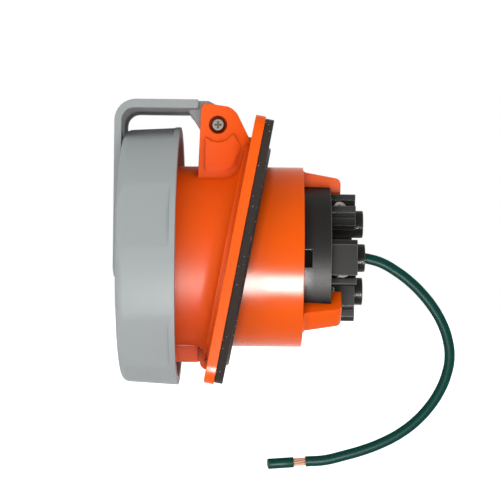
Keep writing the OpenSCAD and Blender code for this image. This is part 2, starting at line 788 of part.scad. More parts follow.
// Side outline of the strap: down the cap's front, round the bend and back to the hinge
module strap_outline() {
    bevel = 3.6;
    end_z = -axis_drop - arm_end;
    polygon(concat(
        [[arm_inner_x, end_z], [arm_outer_x + bevel / 6, end_z], [arm_outer_x, end_z + bevel]],
        arc([arm_outer_x + arm_bend_r, arm_top_z - arm_bend_r], arm_bend_r, 180, 90),
        [[strap_end_x, arm_top_z], [strap_end_x, arm_under_z]],
        arc([arm_inner_x + arm_inner_bend_r, arm_under_z - arm_inner_bend_r], arm_inner_bend_r, 90, 180)
    ));
}

// Channel along the strap's inner side, from the hub round the bend to the knuckle
module channel_outline() {
    hub_z = 2 * post_r - axis_drop;
    bend = [arm_inner_x + arm_inner_bend_r, arm_under_z - arm_inner_bend_r];
    polygon(concat(
        [[arm_inner_x + sink, hub_z], [arm_inner_x - arm_channel, hub_z]],
        arc(bend, arm_inner_bend_r + arm_channel, 180, 90),
        [[knuckle_x, arm_under_z + arm_channel], [knuckle_x, arm_under_z - sink]],
        arc(bend, arm_inner_bend_r - sink, 90, 180)
    ));
}

// Side outline of the narrow block between the ears
module knuckle_outline() {
    step = 1.4;
    polygon([
        [knuckle_x, arm_under_z - step], [knuckle_x, arm_top_z],
        [hinge_x - 3 * step, arm_top_z], [hinge_x - step, arm_top_z - step],
        [hinge_x + knuckle_r * sin(30), hinge_z + knuckle_r * cos(30)],
        [hinge_x, hinge_z - knuckle_r / 2],
        [hinge_x - knuckle_r * sin(53), hinge_z - knuckle_r * cos(53)],
        [knuckle_x + step, arm_under_z - 2 * step]
    ]);
}

module cover_arm() {
    color(grey) difference() {
        union() {
            upright(-arm_w / 2, arm_w / 2) strap_outline();
            upright(-knuckle_w / 2, knuckle_w / 2) knuckle_outline();
            translate([hinge_x, 0, hinge_z]) rotate([90, 0, 0])
                cylinder(h = knuckle_w, r = knuckle_r, center = true);
            axial(arm_inner_x - sink, washer_x - seat_gap, post_r);
        }
        upright(arm_lip_w - arm_w / 2, arm_w / 2 - arm_lip_w) channel_outline();
        translate([hinge_x, 0, hinge_z]) rotate([90, 0, 0])
            cylinder(h = 2 * knuckle_w, r = hinge_d / 2 + running_fit, center = true);
        axial(arm_inner_x, washer_x + sink, pivot_d / 2 + screw_fit);
    }
}

module pivot_washer() {
    color(steel) difference() {
        axial(washer_x, washer_x + washer_t, washer_d / 2);
        axial(washer_x - sink, washer_x + washer_t + sink, pivot_d / 2 + screw_fit);
    }
}

module pivot_screw() {
    color(steel) on_axis() translate([0, 0, washer_x + washer_t + seat_gap]) rotate([180, 0, 0]) {
        cross_head(pivot_head_d, pivot_head_h);
        cylinder(h = washer_x + washer_t - arm_inner_x - seat_gap, d = pivot_d, $fn = 48);
    }
}

// Half section of the cap: front, drafted ring and the two walls that hold the seal
module cap_section() {
    wall_t = 1.4;
    wall_h = seal_t * 0.6;
    wall_in = seal_w / 2 + slip_fit / 2;
    polygon(concat(
        [[post_r + running_fit, floor_x], [post_r + running_fit, cap_front_x]],
        arc([cap_front_r - cap_edge_r, cap_front_x + cap_edge_r], cap_edge_r, -90, -cap_slope),
        [[cap_r, rim_x], [cap_inner_r, rim_x], [cap_inner_r - cap_draft, floor_x]]
    ));
    for (r = [seal_mid - wall_in - wall_t, seal_mid + wall_in])
        translate([r, floor_x - sink]) square([wall_t, wall_h + sink]);
}

module cover_cap() {
    flat_w = 40;
    flat_turn = 18;
    overrun = 5;
    color(grey) difference() {
        union() {
            on_axis() rotate_extrude() cap_section();
            for (angle = [cap_lug_angle, cap_lug_angle + 180])
                sector(-90 - angle, lug_span) translate([cap_lug_r, cap_lug_x])
                    square([cap_inner_r - cap_lug_r + sink, lug_len]);
        }
        on_axis() for (i = [0:flat_count - 1]) rotate([0, 0, i * 360 / flat_count - 90 - flat_turn])
            translate([cap_front_r - flat_depth, -flat_w / 2, cap_front_x])
                rotate([0, cap_slope, 0]) translate([0, 0, -overrun])
                    cube([2 * overrun, flat_w, cap_depth - rim_band + overrun]);
    }
}

module cap_seal() {
    color(rubber) difference() {
        axial(floor_x + seat_gap, seal_x, seal_mid + seal_w / 2);
        axial(floor_x - sink, seal_x + sink, seal_mid - seal_w / 2);
    }
}

// Round tube swept along points in the lead's upright plane, as one polyhedron
module lead_tube(points, d) {
    n = len(points);
    rings = [for (i = [0:n - 1])
        let (
            ahead = unit(points[min(i + 1, n - 1)] - points[max(i - 1, 0)]),
            across = [-ahead[1], ahead[0]]
        )
        for (k = [0:cord_sides - 1])
            let (
                a = 360 * k / cord_sides,
                p = points[i] + across * cos(a) * d / 2
            )
            [p[0], lead_y + sin(a) * d / 2, p[1]]
    ];
    sides = [for (i = [0:n - 2], k = [0:cord_sides - 1])
        let (a = i * cord_sides + k, b = i * cord_sides + (k + 1) % cord_sides)
        [a, b, b + cord_sides, a + cord_sides]
    ];
    caps = [
        [for (k = [cord_sides - 1:-1:0]) k],
        [for (k = [0:cord_sides - 1]) (n - 1) * cord_sides + k]
    ];
    polyhedron(rings, concat(sides, caps), convexity = 6);
}

module ground_lead() {
    ends = [strip_from - lead_straight * lead_end, strip_from];
    color(green) lead_tube(concat(lead_start, lead_route, ends), lead_d);
}

module lead_copper() {
    color(copper) lead_tube([strip_from, strip_to], copper_d);
}

module lead_slug() {
    color(green) lead_tube([strip_to, slug_end], lead_d);
}

housing();
flange_gasket();
contact_insert();
insert_oring();
terminal_block();
contact_sleeve(0);  // sleeve_top
contact_sleeve(1);  // sleeve_ground
contact_sleeve(2);  // sleeve_bottom
contact_sleeve(3);  // sleeve_far
sleeve_spring(0);  // spring_top
sleeve_spring(1);  // spring_ground
sleeve_spring(2);  // spring_bottom
sleeve_spring(3);  // spring_far
clamp_screw(0);  // clamp_screw_top
clamp_screw(1);  // clamp_screw_ground
clamp_screw(2);  // clamp_screw_bottom
clamp_screw(3);  // clamp_screw_far
insert_screws();
hinge_screw();
hinge_nut();
cover_arm();
pivot_washer();
pivot_screw();
cover_cap();
cap_seal();
ground_lead();
lead_copper();
lead_slug();
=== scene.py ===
"""Looks of an angled pin and sleeve receptacle: finishes, rounded edges, ground lead and a plain studio."""

import json
import math
from itertools import combinations

import bmesh
import bpy
from bpy.props import FloatProperty, FloatVectorProperty, IntProperty, PointerProperty
from mathutils import Matrix, Vector
from mathutils.geometry import intersect_point_line

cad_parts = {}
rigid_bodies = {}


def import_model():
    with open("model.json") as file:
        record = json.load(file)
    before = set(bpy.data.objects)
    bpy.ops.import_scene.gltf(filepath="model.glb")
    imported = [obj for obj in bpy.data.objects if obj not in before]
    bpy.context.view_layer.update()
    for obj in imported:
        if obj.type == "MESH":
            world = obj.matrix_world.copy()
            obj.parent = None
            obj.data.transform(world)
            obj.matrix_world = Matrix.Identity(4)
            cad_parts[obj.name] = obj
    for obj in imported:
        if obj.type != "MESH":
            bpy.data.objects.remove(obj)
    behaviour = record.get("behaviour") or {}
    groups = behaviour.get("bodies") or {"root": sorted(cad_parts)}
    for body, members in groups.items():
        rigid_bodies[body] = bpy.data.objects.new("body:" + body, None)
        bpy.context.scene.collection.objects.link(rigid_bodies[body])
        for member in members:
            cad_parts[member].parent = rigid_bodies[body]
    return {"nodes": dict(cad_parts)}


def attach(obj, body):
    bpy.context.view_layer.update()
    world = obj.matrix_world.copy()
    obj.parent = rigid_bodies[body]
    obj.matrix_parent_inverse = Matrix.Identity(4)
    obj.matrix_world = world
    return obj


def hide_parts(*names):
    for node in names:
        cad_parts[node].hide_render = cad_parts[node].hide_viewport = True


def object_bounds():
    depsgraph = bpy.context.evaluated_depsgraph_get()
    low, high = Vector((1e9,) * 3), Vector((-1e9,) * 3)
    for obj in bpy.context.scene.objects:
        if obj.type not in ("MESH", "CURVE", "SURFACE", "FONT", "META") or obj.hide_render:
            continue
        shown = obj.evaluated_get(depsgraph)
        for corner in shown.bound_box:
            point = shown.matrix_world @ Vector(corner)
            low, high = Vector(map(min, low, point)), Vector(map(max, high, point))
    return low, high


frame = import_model()
CAD_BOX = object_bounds()

bl_info = {
    "name": "Pin and Sleeve Receptacle",
    "version": (1, 0, 0),
    "blender": (4, 5, 0),
    "location": "3D View > Sidebar > Receptacle",
    "description": "Finishes, rounded edges, ground lead and studio of an angled panel receptacle",
    "category": "Object",
}

# Bodies that the pieces ride on, and the places of the four contacts
SOCKET = "socket"
ARM = "arm"
CAP = "cap"
CONTACTS = ("top", "ground", "bottom", "far")

# Merging of a CAD node's loose triangles
MERGE_M = 2e-6
FLAT_ANGLE = math.radians(0.6)
SHARP_ANGLE = math.radians(28)

# Rounding: the face layer that marks it, its steps, the room up to the next edge as a share of the radius,
# the cosine below which edges face each other, and the thinnest corner whose edges are rounded
EDGE = "edge"
ROUND_STEPS = 2
ROOM = 1.15
FACING = -0.3
SLIVER = math.radians(15)

# Housing: the socket axis under the origin, the collar, the leaning flange, the start of the smooth barrel,
# and how far the finish of each fades into the next
AXIS_DROP = 0.002
COLLAR_R = 0.0387
COLLAR_FADE = 0.0006
FLANGE_LEAN = (0.9832549, 0, -0.1822355)
FLANGE_FRONT = 0.0077
FLANGE_FADE = 0.001
BARREL_FADE = (0.004, 0.010)

# Foot of the keyway ridge: its outline in X and Z from the ridge's end to inside the flange, with a round toe
FOOT_W = 0.013
FOOT_TOE = (-0.0202, -0.0503)
FOOT_TOE_R = 0.003
FOOT_TOE_STEPS = 8
FOOT_OUTLINE = [
    (-0.0216, -0.040), (-0.0216, -0.047), (-0.0202, -0.047), FOOT_TOE, (-0.0155, -0.0503), (-0.0155, -0.040),
]

# Terminal block: the rear of its pods, and the box of its side notches, which are alike on both sides and
# where shade is painted
POD_REAR = 0.0454
POD_FADE = 0.0004
NOTCH_X = (0.02292, 0.02655)
NOTCH_Y = 0.0286
NOTCH_Z = (-0.0061, 0.0015)

# Route of the ground lead, in metres: the terminal's boss, one round sweep, and the stripped end
LEAD_PLANE_Y = -0.0144
LEAD_ROUTE = [
    (0.04585, -0.002), (0.04835, -0.002), (0.05085, -0.0024), (0.056, -0.0039), (0.062, -0.0072),
    (0.068, -0.0116), (0.0734, -0.0168), (0.0782, -0.0228), (0.082, -0.0294), (0.0844, -0.0364),
    (0.0852, -0.0436), (0.084, -0.0506), (0.0812, -0.0576), (0.077, -0.0642), (0.0716, -0.0702),
    (0.065, -0.0754), (0.0574, -0.0796), (0.0494, -0.0828), (0.0414, -0.0852), (0.0329764, -0.0872864),
    (0.025, -0.0879),
]
STRIP_END = (0.0200147, -0.0882835)
SLUG_END = (0.0086483, -0.0891578)

# Lead's tube, its twisted strands round a core, and the slanting cut of its slug
TUBE_ROUND = 6
TUBE_STEPS = 8
STRAND_SIDES = 8
STRAND_STEPS = 6
STRAND_TURN = math.radians(40)
CORE_DEPTH = 1.6
CORE_SIDES = 24
SLUG_SIDES = 32
SLUG_CUT = 0.0006
SLUG_SLANT = (0.22, 0, 1)
SLUG_EDGE = 0.0002

# Studio: the camera's place beside and above the origin, the floor's half width and glow, and the place,
# size and power of each lamp
CAMERA_SHIFT = (0.00064, 0.00087)
FLOOR_HALF = 6
FLOOR_GLOW = 0.75
WHITE = (1, 1, 1, 1)
BLACK = (0, 0, 0, 1)
SOFTBOXES = {
    "softbox_front": ((-0.15, -1.2, 0.02), (0.9, 0.5), 2.1),
    "softbox_left": ((-1.1, -0.5, 0.0), (0.8, 0.4), 0.6),
    "softbox_low": ((-0.05, -0.6, -0.19), (0.8, 0.08), 1.2),
}
GLINT = ((0.006, -0.25, -0.16), (0.12, 0.10), 7.5)


def srgb(red, green, blue):
    """Linear colour of 8-bit display values."""
    parts = [value / 255 for value in (red, green, blue)]
    return tuple(p / 12.92 if p <= 0.04045 else ((p + 0.055) / 1.055) ** 2.4 for p in parts)


def colour_property(name, description, default):
    """A colour that a user can change."""
    return FloatVectorProperty(
        name=name, description=description, default=default, size=3, subtype="COLOR", min=0, max=1)


def length_property(name, description, default):
    """A length in metres that a user can change."""
    return FloatProperty(
        name=name, description=description, default=default, min=0, precision=5, unit="LENGTH",
        subtype="DISTANCE")


class ReceptacleColours(bpy.types.PropertyGroup):
    """Colours of the receptacle's materials"""

    orange: colour_property("Orange", "Housing moulding", srgb(248, 93, 8))
    grey: colour_property("Grey", "Cap and arm mouldings", srgb(160, 165, 166))
    black: colour_property("Black", "Insulator mouldings", srgb(42, 41, 39))
    rubber: colour_property("Rubber", "Gasket and seals", srgb(60, 53, 50))
    dust: colour_property("Dust", "Specks on the rubber", (0.5, 0.48, 0.46))
    green: colour_property("Green", "Insulation of the ground lead", srgb(10, 66, 58))
    copper: colour_property("Copper", "Strands of the ground lead", srgb(246, 192, 164))
    steel: colour_property("Steel", "Screws, nut, washer and springs", srgb(176, 168, 160))
    brass: colour_property("Brass", "Contact sleeves", srgb(214, 184, 120))


class ReceptacleEdges(bpy.types.PropertyGroup):
    """Radii that round the sharp edges of the pieces"""

    moulded: length_property("Moulded edge", "Edge radius of the large mouldings", 0.0004)
    fine: length_property("Fine edge", "Edge radius of terminals and inner mouldings", 0.00025)
    metal: length_property("Metal edge", "Edge radius of screws and contacts", 0.00012)
    rubber: length_property("Rubber edge", "Edge radius of gasket and seal", 0.0003)


class ReceptacleLead(bpy.types.PropertyGroup):
    """Sizes of the ground lead"""

    diameter: length_property("Diameter", "Outside of the green insulation", 0.0044)
    copper: length_property("Copper", "Outside of the bundle of strands", 0.0033)
    strands: IntProperty(name="Strands", description="Strands in the outer layer", default=12, min=6, max=18)


class ReceptacleStage(bpy.types.PropertyGroup):
    """Camera, floor and light of the studio"""

    distance: length_property("Camera distance", "From the socket axis to the camera", 0.7)
    lens: FloatProperty(name="Lens", description="Focal length in millimetres", default=117.2, min=1)
    roll: FloatProperty(
        name="Roll", description="Lean of the camera", default=math.radians(0.65), subtype="ANGLE",
        unit="ROTATION")
    drop: length_property("Floor drop", "From the lowest point of the part to the floor", 0.15)
    ambient: FloatProperty(name="Ambient", description="Even light from all round", default=0.75, min=0)


class Value:
    """A shader socket that adds Math nodes where an expression uses it."""

    def __init__(self, nodes, socket):
        self.nodes = nodes
        self.socket = socket

    def math(self, operation, first, second):
        return self.nodes.node("ShaderNodeMath", {"operation": operation}, {0: first, 1: second})

    def __add__(self, other):
        return self.math("ADD", self, other)

    def __radd__(self, other):
        return self.math("ADD", other, self)

    def __sub__(self, other):
        return self.math("SUBTRACT", self, other)

    def __rsub__(self, other):
        return self.math("SUBTRACT", other, self)

    def __mul__(self, other):
        return self.math("MULTIPLY", self, other)

    def __rmul__(self, other):
        return self.math("MULTIPLY", other, self)

    def __gt__(self, other):
        return self.math("GREATER_THAN", self, other)

    def __lt__(self, other):
        return self.math("LESS_THAN", self, other)


class Nodes:
    """A node tree whose nodes are added by calls and expressions."""

    def __init__(self, tree):
        self.tree = tree

    def node(self, kind, settings=None, inputs=None, output=0):
        """Adds a node of that type: its settings come first, then the values or links of its sockets."""
        made = self.tree.nodes.new(kind)
        for name, value in (settings or {}).items():
            setattr(made, name, value)
        for name, value in (inputs or {}).items():
            self.feed(made.inputs[name], value)
        return Value(self, made.outputs[output]) if made.outputs else None

    def feed(self, socket, value):
        """Links a value to a socket, or sets the socket to a number, colour or vector."""
        if isinstance(value, Value):
            self.tree.links.new(value.socket, socket)
        else:
            socket.default_value = value

    def mix(self, first, second, share):
        """Colour between two colours."""
        return self.node(
            "ShaderNodeMix", {"data_type": "RGBA"}, {0: share, 6: first, 7: second}, output=2)

    def seen(self):
        """1 where the camera looks, straight or by way of metal or glass, and 0 for light on the pieces."""
        camera, glossy, clear = [
            self.node("ShaderNodeLightPath", output=f"Is {ray} Ray")
            for ray in ("Camera", "Glossy", "Transmission")]
        return camera + glossy + clear


class Finish(Nodes):
    """A material with one surface shader."""

    def __init__(self, name, **constants):
        self.material = bpy.data.materials.new(name)
        self.material.use_nodes = True
        super().__init__(self.material.node_tree)
        self.surface = self.tree.nodes["Principled BSDF"]
        self.set(**constants)

    def set(self, **inputs):
        """Links or sets sockets of the surface shader."""
        for name, value in inputs.items():
            self.feed(self.surface.inputs[name.replace("_", " ")], value)

    def place(self):
        """Place on the piece, in the part's frame."""
        return self.node("ShaderNodeTexCoord", output="Object")

    def axes(self):
        """X, Y and Z of the place, as values."""
        split = self.node("ShaderNodeSeparateXYZ", {}, {"Vector": self.place()}).socket.node
        return [Value(self, socket) for socket in split.outputs]

    def noise(self, scale, detail, stretch=(1, 1, 1)):
        """Noise of that many cells a metre, finer along an axis with a larger stretch."""
        placed = self.node("ShaderNodeMapping", {}, {"Vector": self.place(), "Scale": stretch})
        return self.node("ShaderNodeTexNoise", {}, {"Vector": placed, "Scale": scale, "Detail": detail})

    def ramp(self, value, low, high):
        """0 at low, 1 at high and smooth between."""
        return self.node(
            "ShaderNodeMapRange", {"interpolation_type": "SMOOTHSTEP"},
            {"Value": value, "From Min": low, "From Max": high})

    def edge(self):
        """1 on the faces that round an edge, 0 elsewhere."""
        return self.node("ShaderNodeAttribute", {"attribute_name": EDGE}, output="Fac")

    def hollow(self, reach):
        """Share of the view that near surfaces take up, as in a recess; the finishes paint shade into their
        colour by it.
        """
        return 1 - self.node(
            "ShaderNodeAmbientOcclusion", {"samples": 8}, {"Distance": reach}, output="AO")

    def bump(self, height, strength, distance):
        """Raises the surface by a height pattern."""
        self.set(Normal=self.node(
            "ShaderNodeBump", {}, {"Height": height, "Strength": strength, "Distance": distance}))


def opaque(colour, scale=1.0):
    """Colour with an alpha of 1, darker or lighter by scale."""
    return (*[channel * scale for channel in colour], 1)


def orange_plastic(colours):
    """Satin moulding: a fine spark texture on the collar, smooth with faint draw marks on the barrel, and
    painted shade in its recesses.
    """
    finish = Finish("orange_plastic_finish", Specular_IOR_Level=0.08)
    along, side, height = finish.axes()
    rise = height + AXIS_DROP
    lean = FLANGE_LEAN[0] * along + FLANGE_LEAN[2] * height
    barrel = finish.ramp(along, *BARREL_FADE)
    front = finish.ramp(lean, -FLANGE_FRONT, -FLANGE_FRONT - FLANGE_FADE)
    off_collar = finish.ramp(side * side + rise * rise, COLLAR_R ** 2, (COLLAR_R + COLLAR_FADE) ** 2)
    collar = front * (1 - off_collar)
    speckle = finish.noise(1500, 2.0)
    cloud = finish.noise(30, 3.0)
    draw = finish.noise(260, 2.0, (0.06, 1, 1))
    shell = finish.mix(opaque(colours.orange), opaque(colours.orange, 0.86), 0.5 * cloud)
    # Painted shade: the colour darkens in recesses and creases, where near surfaces close in.
    finish.set(
        Base_Color=finish.mix(shell, opaque(colours.orange, 0.15), finish.hollow(0.004)),
        Roughness=(0.28 + 0.22 * collar + 0.5 * front * off_collar - 0.05 * barrel
                   + 0.1 * (speckle - 0.5) + 0.12 * barrel * (draw - 0.5)))
    finish.bump(speckle * (0.3 + 0.7 * collar) + 0.8 * barrel * draw, 0.22, 0.00012)
    return finish.material


def grey_plastic(colours):
    """Matt moulding with a fine even texture."""
    finish = Finish("grey_plastic_finish", Specular_IOR_Level=0.05)
    grain = finish.noise(1700, 2.0)
    cloud = finish.noise(18, 3.0)
    finish.set(
        Base_Color=finish.mix(opaque(colours.grey), opaque(colours.grey, 0.90), cloud),
        Roughness=0.50 + 0.14 * (grain - 0.5))
    finish.bump(grain, 0.16, 0.0001)
    return finish.material


def black_plastic(colours):
    """Dark moulding with a coarse satin speckle, painted highlights on its rounded edges and painted shade in
    its recesses and side notches.
    """
    finish = Finish("black_plastic_finish", Specular_IOR_Level=0.07)
    along, side, height = finish.axes()
    grain = finish.noise(1300, 3.0)
    cloud = finish.noise(40, 2.0)
    boss = finish.ramp(along, POD_REAR, POD_REAR + POD_FADE)
    notch = ((along > NOTCH_X[0]) * (along < NOTCH_X[1]) * (height > NOTCH_Z[0]) * (height < NOTCH_Z[1])
             * (side * side < NOTCH_Y ** 2))
    shell = finish.mix(opaque(colours.black), opaque(colours.black, 0.75), cloud)
    # Painted highlight: the faces that round the edges are painted paler.
    edge_highlight = finish.mix(shell, opaque(colours.black, 4), finish.edge() * (1 - notch))
    # Painted shade: darker in recesses, and nearly black in the side notches.
    shade = finish.hollow(0.005) + 0.8 * notch
    finish.set(
        Base_Color=finish.mix(edge_highlight, opaque(colours.black, 0.12), shade),
        Roughness=0.5 - 0.2 * boss - 0.4 * shade + 0.2 * (grain - 0.5))
    finish.bump(grain, 0.35, 0.00015)
    return finish.material


def gasket_rubber(colours):
    """Dull rubber with a few pale specks of dust."""
    finish = Finish("gasket_rubber_finish", Specular_IOR_Level=0.05)
    grain = finish.noise(900, 4.0)
    specks = finish.ramp(finish.noise(1500, 0.0), 0.79, 0.82)
    rubber = finish.mix(opaque(colours.rubber), opaque(colours.rubber, 0.72), grain)
    finish.set(
        Base_Color=finish.mix(rubber, opaque(colours.dust), specks),
        Roughness=0.42 + 0.2 * (grain - 0.5))
    finish.bump(grain, 0.4, 0.0002)
    return finish.material


def screw_steel(colours):
    """Bright plated steel with faint stains, and painted shade in its recesses."""
    finish = Finish("screw_steel_finish", Metallic=1.0)
    stain = finish.noise(700, 3.0)
    plated = finish.mix(opaque(colours.steel), opaque(colours.steel, 0.7), stain)
    # Painted shade: darker in the recesses, such as the drive's cross.
    finish.set(
        Base_Color=finish.mix(plated, opaque(colours.steel, 0.08), finish.hollow(0.0015)),
        Roughness=0.28 + 0.16 * stain)
    finish.bump(stain, 0.08, 0.00005)
    return finish.material


def contact_brass(colours):
    """Turned brass with fine marks round its axis."""
    finish = Finish("contact_brass_finish", Metallic=1.0)
    turning = finish.noise(1500, 1.0, (1, 0.05, 0.05))
    finish.set(
        Base_Color=finish.mix(opaque(colours.brass), opaque(colours.brass, 0.8), turning),
        Roughness=0.24 + 0.12 * turning)
    finish.bump(turning, 0.12, 0.00006)
    return finish.material


def green_insulation(colours):
    """Smooth extruded insulation with slight ripples."""
    finish = Finish("green_insulation_finish", Specular_IOR_Level=0.03)
    ripple = finish.noise(240, 2.0)
    finish.set(
        Base_Color=finish.mix(opaque(colours.green), opaque(colours.green, 0.75), ripple),
        Roughness=0.34 + 0.12 * ripple)
    finish.bump(ripple, 0.05, 0.0002)
    return finish.material


def bare_copper(colours):
    """Bright copper with slight tarnish, and painted shade between the strands."""
    finish = Finish("bare_copper_finish", Metallic=1.0)
    tarnish = finish.noise(900, 3.0)
    strand = finish.mix(opaque(colours.copper), opaque(colours.copper, 0.7), tarnish)
    # Painted shade: darker in the creases between the strands.
    finish.set(
        Base_Color=finish.mix(strand, opaque(colours.copper, 0.15), finish.hollow(0.0006)),
        Roughness=0.26 + 0.14 * tarnish)
    finish.bump(tarnish, 0.1, 0.00005)
    return finish.material


FINISHES = {
    "orange_plastic": orange_plastic,
    "grey_plastic": grey_plastic,
    "black_plastic": black_plastic,
    "gasket_rubber": gasket_rubber,
    "screw_steel": screw_steel,
    "contact_brass": contact_brass,
    "green_insulation": green_insulation,
    "bare_copper": bare_copper,
}
PLASTICS = ("orange_plastic", "grey_plastic", "black_plastic", "green_insulation")


def finish_of(context, slot):
    """The material of a slot, made the first time it is asked for."""
    return bpy.data.materials.get(f"{slot}_finish") or FINISHES[slot](context.scene.receptacle_colours)


def put(name, bm, context, body, slot, *nodes):
    """Turns a bmesh into a piece that rides on a body and stands for the CAD nodes that are named, if any."""
    mesh = bpy.data.meshes.new(name)
    bm.to_mesh(mesh)
    bm.free()
    mesh.materials.append(finish_of(context, slot))
    piece = bpy.data.objects.new(name, mesh)
    context.scene.collection.objects.link(piece)
    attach(piece, body)
    if nodes:
        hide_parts(*nodes)
    return piece


def only(parts, kind):
    """The parts of one kind among those that a bmesh operator gives."""
    return [part for part in parts if isinstance(part, kind)]


def sharp_edges(bm):
    """Edges whose faces turn by more than the sharp angle."""
    return [edge for edge in bm.edges if edge.calc_face_angle(0) > SHARP_ANGLE]


def bevel(bm, edges, radius, segments=ROUND_STEPS, slide=False):
    """Rounds edges by a radius and gives the new faces."""
    return bmesh.ops.bevel(
        bm, geom=edges, offset=radius, offset_type="OFFSET", segments=segments, profile=0.5,
        affect="EDGES", material=-1, clamp_overlap=False, loop_slide=slide)["faces"]


def smooth_by_angle(bm):
    """Shades faces smooth and keeps the edges that are still sharp."""
    for face in bm.faces:
        face.smooth = True
    for edge in bm.edges:
        edge.smooth = edge.calc_face_angle(math.pi) < SHARP_ANGLE


def off_edge(point, edge):
    """Distance from a point to an edge."""
    start, end = [vert.co for vert in edge.verts]
    share = intersect_point_line(point, start, end)[1]
    return (point - start.lerp(end, min(max(share, 0), 1))).length


def gap_between(first, second):
    """Distance between two edges that don't cross."""
    ends = [(vert.co, second) for vert in first.verts] + [(vert.co, first) for vert in second.verts]
    return min(off_edge(point, edge) for point, edge in ends)


def facing_edges(face, reach):
    """Pairs of edges that lie across the face from each other within reach, with the gap between them."""
    sides = []
    for loop in face.loops:
        start, end = loop.vert.co, loop.link_loop_next.vert.co
        inward = face.normal.cross(end - start).normalized()
        sides.append((loop.edge, (start + end) / 2, (end - start).length / 2, inward))
    for (first, middle, half, inward), (second, centre, span, other) in combinations(sides, 2):
        across = centre - middle
        if across.length - half - span > reach or inward.dot(other) > FACING or across.dot(inward) <= 0:
            continue
        if set(first.verts) & set(second.verts):
            continue
        gap = gap_between(first, second)
        if gap < reach:
            yield first, second, gap


def edges_with_room(bm, radius):
    """Sharp edges that can be rounded by this radius without running over the next edge."""
    sharp = set(sharp_edges(bm))
    close = [pair for face in bm.faces for pair in facing_edges(face, 2 * radius * ROOM)]
    for first, second, _ in close:
        if first in sharp and second in sharp:
            sharp -= {edge for edge in (first, second) if not edge.is_convex}
    for first, second, gap in close:
        if gap < radius * ROOM or (first in sharp and second in sharp):
            sharp -= {first, second}
    for face in bm.faces:
        for corner in face.loops:
            if corner.calc_angle() < SLIVER:
                sharp -= {corner.edge, corner.link_loop_prev.edge}
    return [edge for edge in bm.edges if edge in sharp]


def round_off(context, node, body, slot, radius):
    """A piece with the form of a CAD node, whose flat faces are whole and whose sharp edges are rounded."""
    bm = bmesh.new()
    bm.from_mesh(frame["nodes"][node].data)
    on_edge = bm.faces.layers.float.new(EDGE)
    bmesh.ops.remove_doubles(bm, verts=bm.verts, dist=MERGE_M)
    bmesh.ops.dissolve_limit(bm, angle_limit=FLAT_ANGLE, verts=bm.verts, edges=bm.edges)
    bm.normal_update()
    for face in bevel(bm, edges_with_room(bm, radius), radius, slide=True):
        face[on_edge] = 1
    smooth_by_angle(bm)
    piece = put(f"{node}_finished", bm, context, body, slot, node)
    piece.modifiers.new("flat_faces", "WEIGHTED_NORMAL").keep_sharp = True
    return piece


class RECEPTACLE_OT_housing(bpy.types.Operator):
    """Rounds and finishes the orange housing and its gasket, and adds the foot of the keyway ridge"""

    bl_idname = "receptacle.housing"
    bl_label = "Housing and Gasket"

    def execute(self, context):
        edges = context.scene.receptacle_edges
        round_off(context, "housing", SOCKET, "orange_plastic", edges.moulded)
        round_off(context, "flange_gasket", SOCKET, "gasket_rubber", edges.rubber)
        self.ridge_foot(context, edges.moulded)
        return {"FINISHED"}

    def ridge_foot(self, context, radius):
        """Foot that carries the keyway ridge on to the flange."""
        bm = bmesh.new()
        side = bm.faces.new([bm.verts.new((x, -FOOT_W / 2, z)) for x, z in FOOT_OUTLINE])
        grown = bmesh.ops.extrude_face_region(bm, geom=[side])["geom"]
        bmesh.ops.translate(bm, vec=(0, FOOT_W, 0), verts=only(grown, bmesh.types.BMVert))
        bmesh.ops.recalc_face_normals(bm, faces=bm.faces)
        toe = Vector((FOOT_TOE[0], 0, FOOT_TOE[1]))
        bevel(bm, [edge for edge in bm.edges if off_edge(toe, edge) < MERGE_M], FOOT_TOE_R, FOOT_TOE_STEPS)
        bevel(bm, edges_with_room(bm, radius), radius)
        smooth_by_angle(bm)
        put("ridge_foot", bm, context, SOCKET, "orange_plastic")


class RECEPTACLE_OT_cover(bpy.types.Operator):
    """Rounds and finishes the hinged arm, the cap, its seal and its pivot"""

    bl_idname = "receptacle.cover"
    bl_label = "Arm and Cap"

    def execute(self, context):
        edges = context.scene.receptacle_edges
        round_off(context, "cover_arm", ARM, "grey_plastic", edges.moulded)
        round_off(context, "cover_cap", CAP, "grey_plastic", edges.moulded)
        round_off(context, "cap_seal", CAP, "gasket_rubber", edges.rubber)
        for node in ("pivot_washer", "pivot_screw"):
            round_off(context, node, ARM, "screw_steel", edges.metal)
        return {"FINISHED"}


class RECEPTACLE_OT_contacts(bpy.types.Operator):
    """Rounds and finishes the insert with its sleeves, springs and seal"""

    bl_idname = "receptacle.contacts"
    bl_label = "Insert and Contacts"

    def execute(self, context):
        edges = context.scene.receptacle_edges
        round_off(context, "contact_insert", SOCKET, "black_plastic", edges.fine)
        round_off(context, "insert_oring", SOCKET, "gasket_rubber", edges.metal)
        for place in CONTACTS:
            round_off(context, f"sleeve_{place}", SOCKET, "contact_brass", edges.metal)
            round_off(context, f"spring_{place}", SOCKET, "screw_steel", edges.metal)
        return {"FINISHED"}


class RECEPTACLE_OT_terminals(bpy.types.Operator):
    """Rounds and finishes the terminal block, its screws, and the screw and nut of the hinge"""

    bl_idname = "receptacle.terminals"
    bl_label = "Terminal Block and Screws"

    def execute(self, context):
        edges = context.scene.receptacle_edges
        round_off(context, "terminal_block", SOCKET, "black_plastic", edges.fine)
        for place in CONTACTS:
            round_off(context, f"clamp_screw_{place}", SOCKET, "screw_steel", edges.metal)
        for node in ("insert_screws", "hinge_screw", "hinge_nut"):
            round_off(context, node, SOCKET, "screw_steel", edges.metal)
        return {"FINISHED"}


def lead_point(flat):
    """Point of the lead's upright plane, in the part's frame."""
    return Vector((flat[0], LEAD_PLANE_Y, flat[1]))


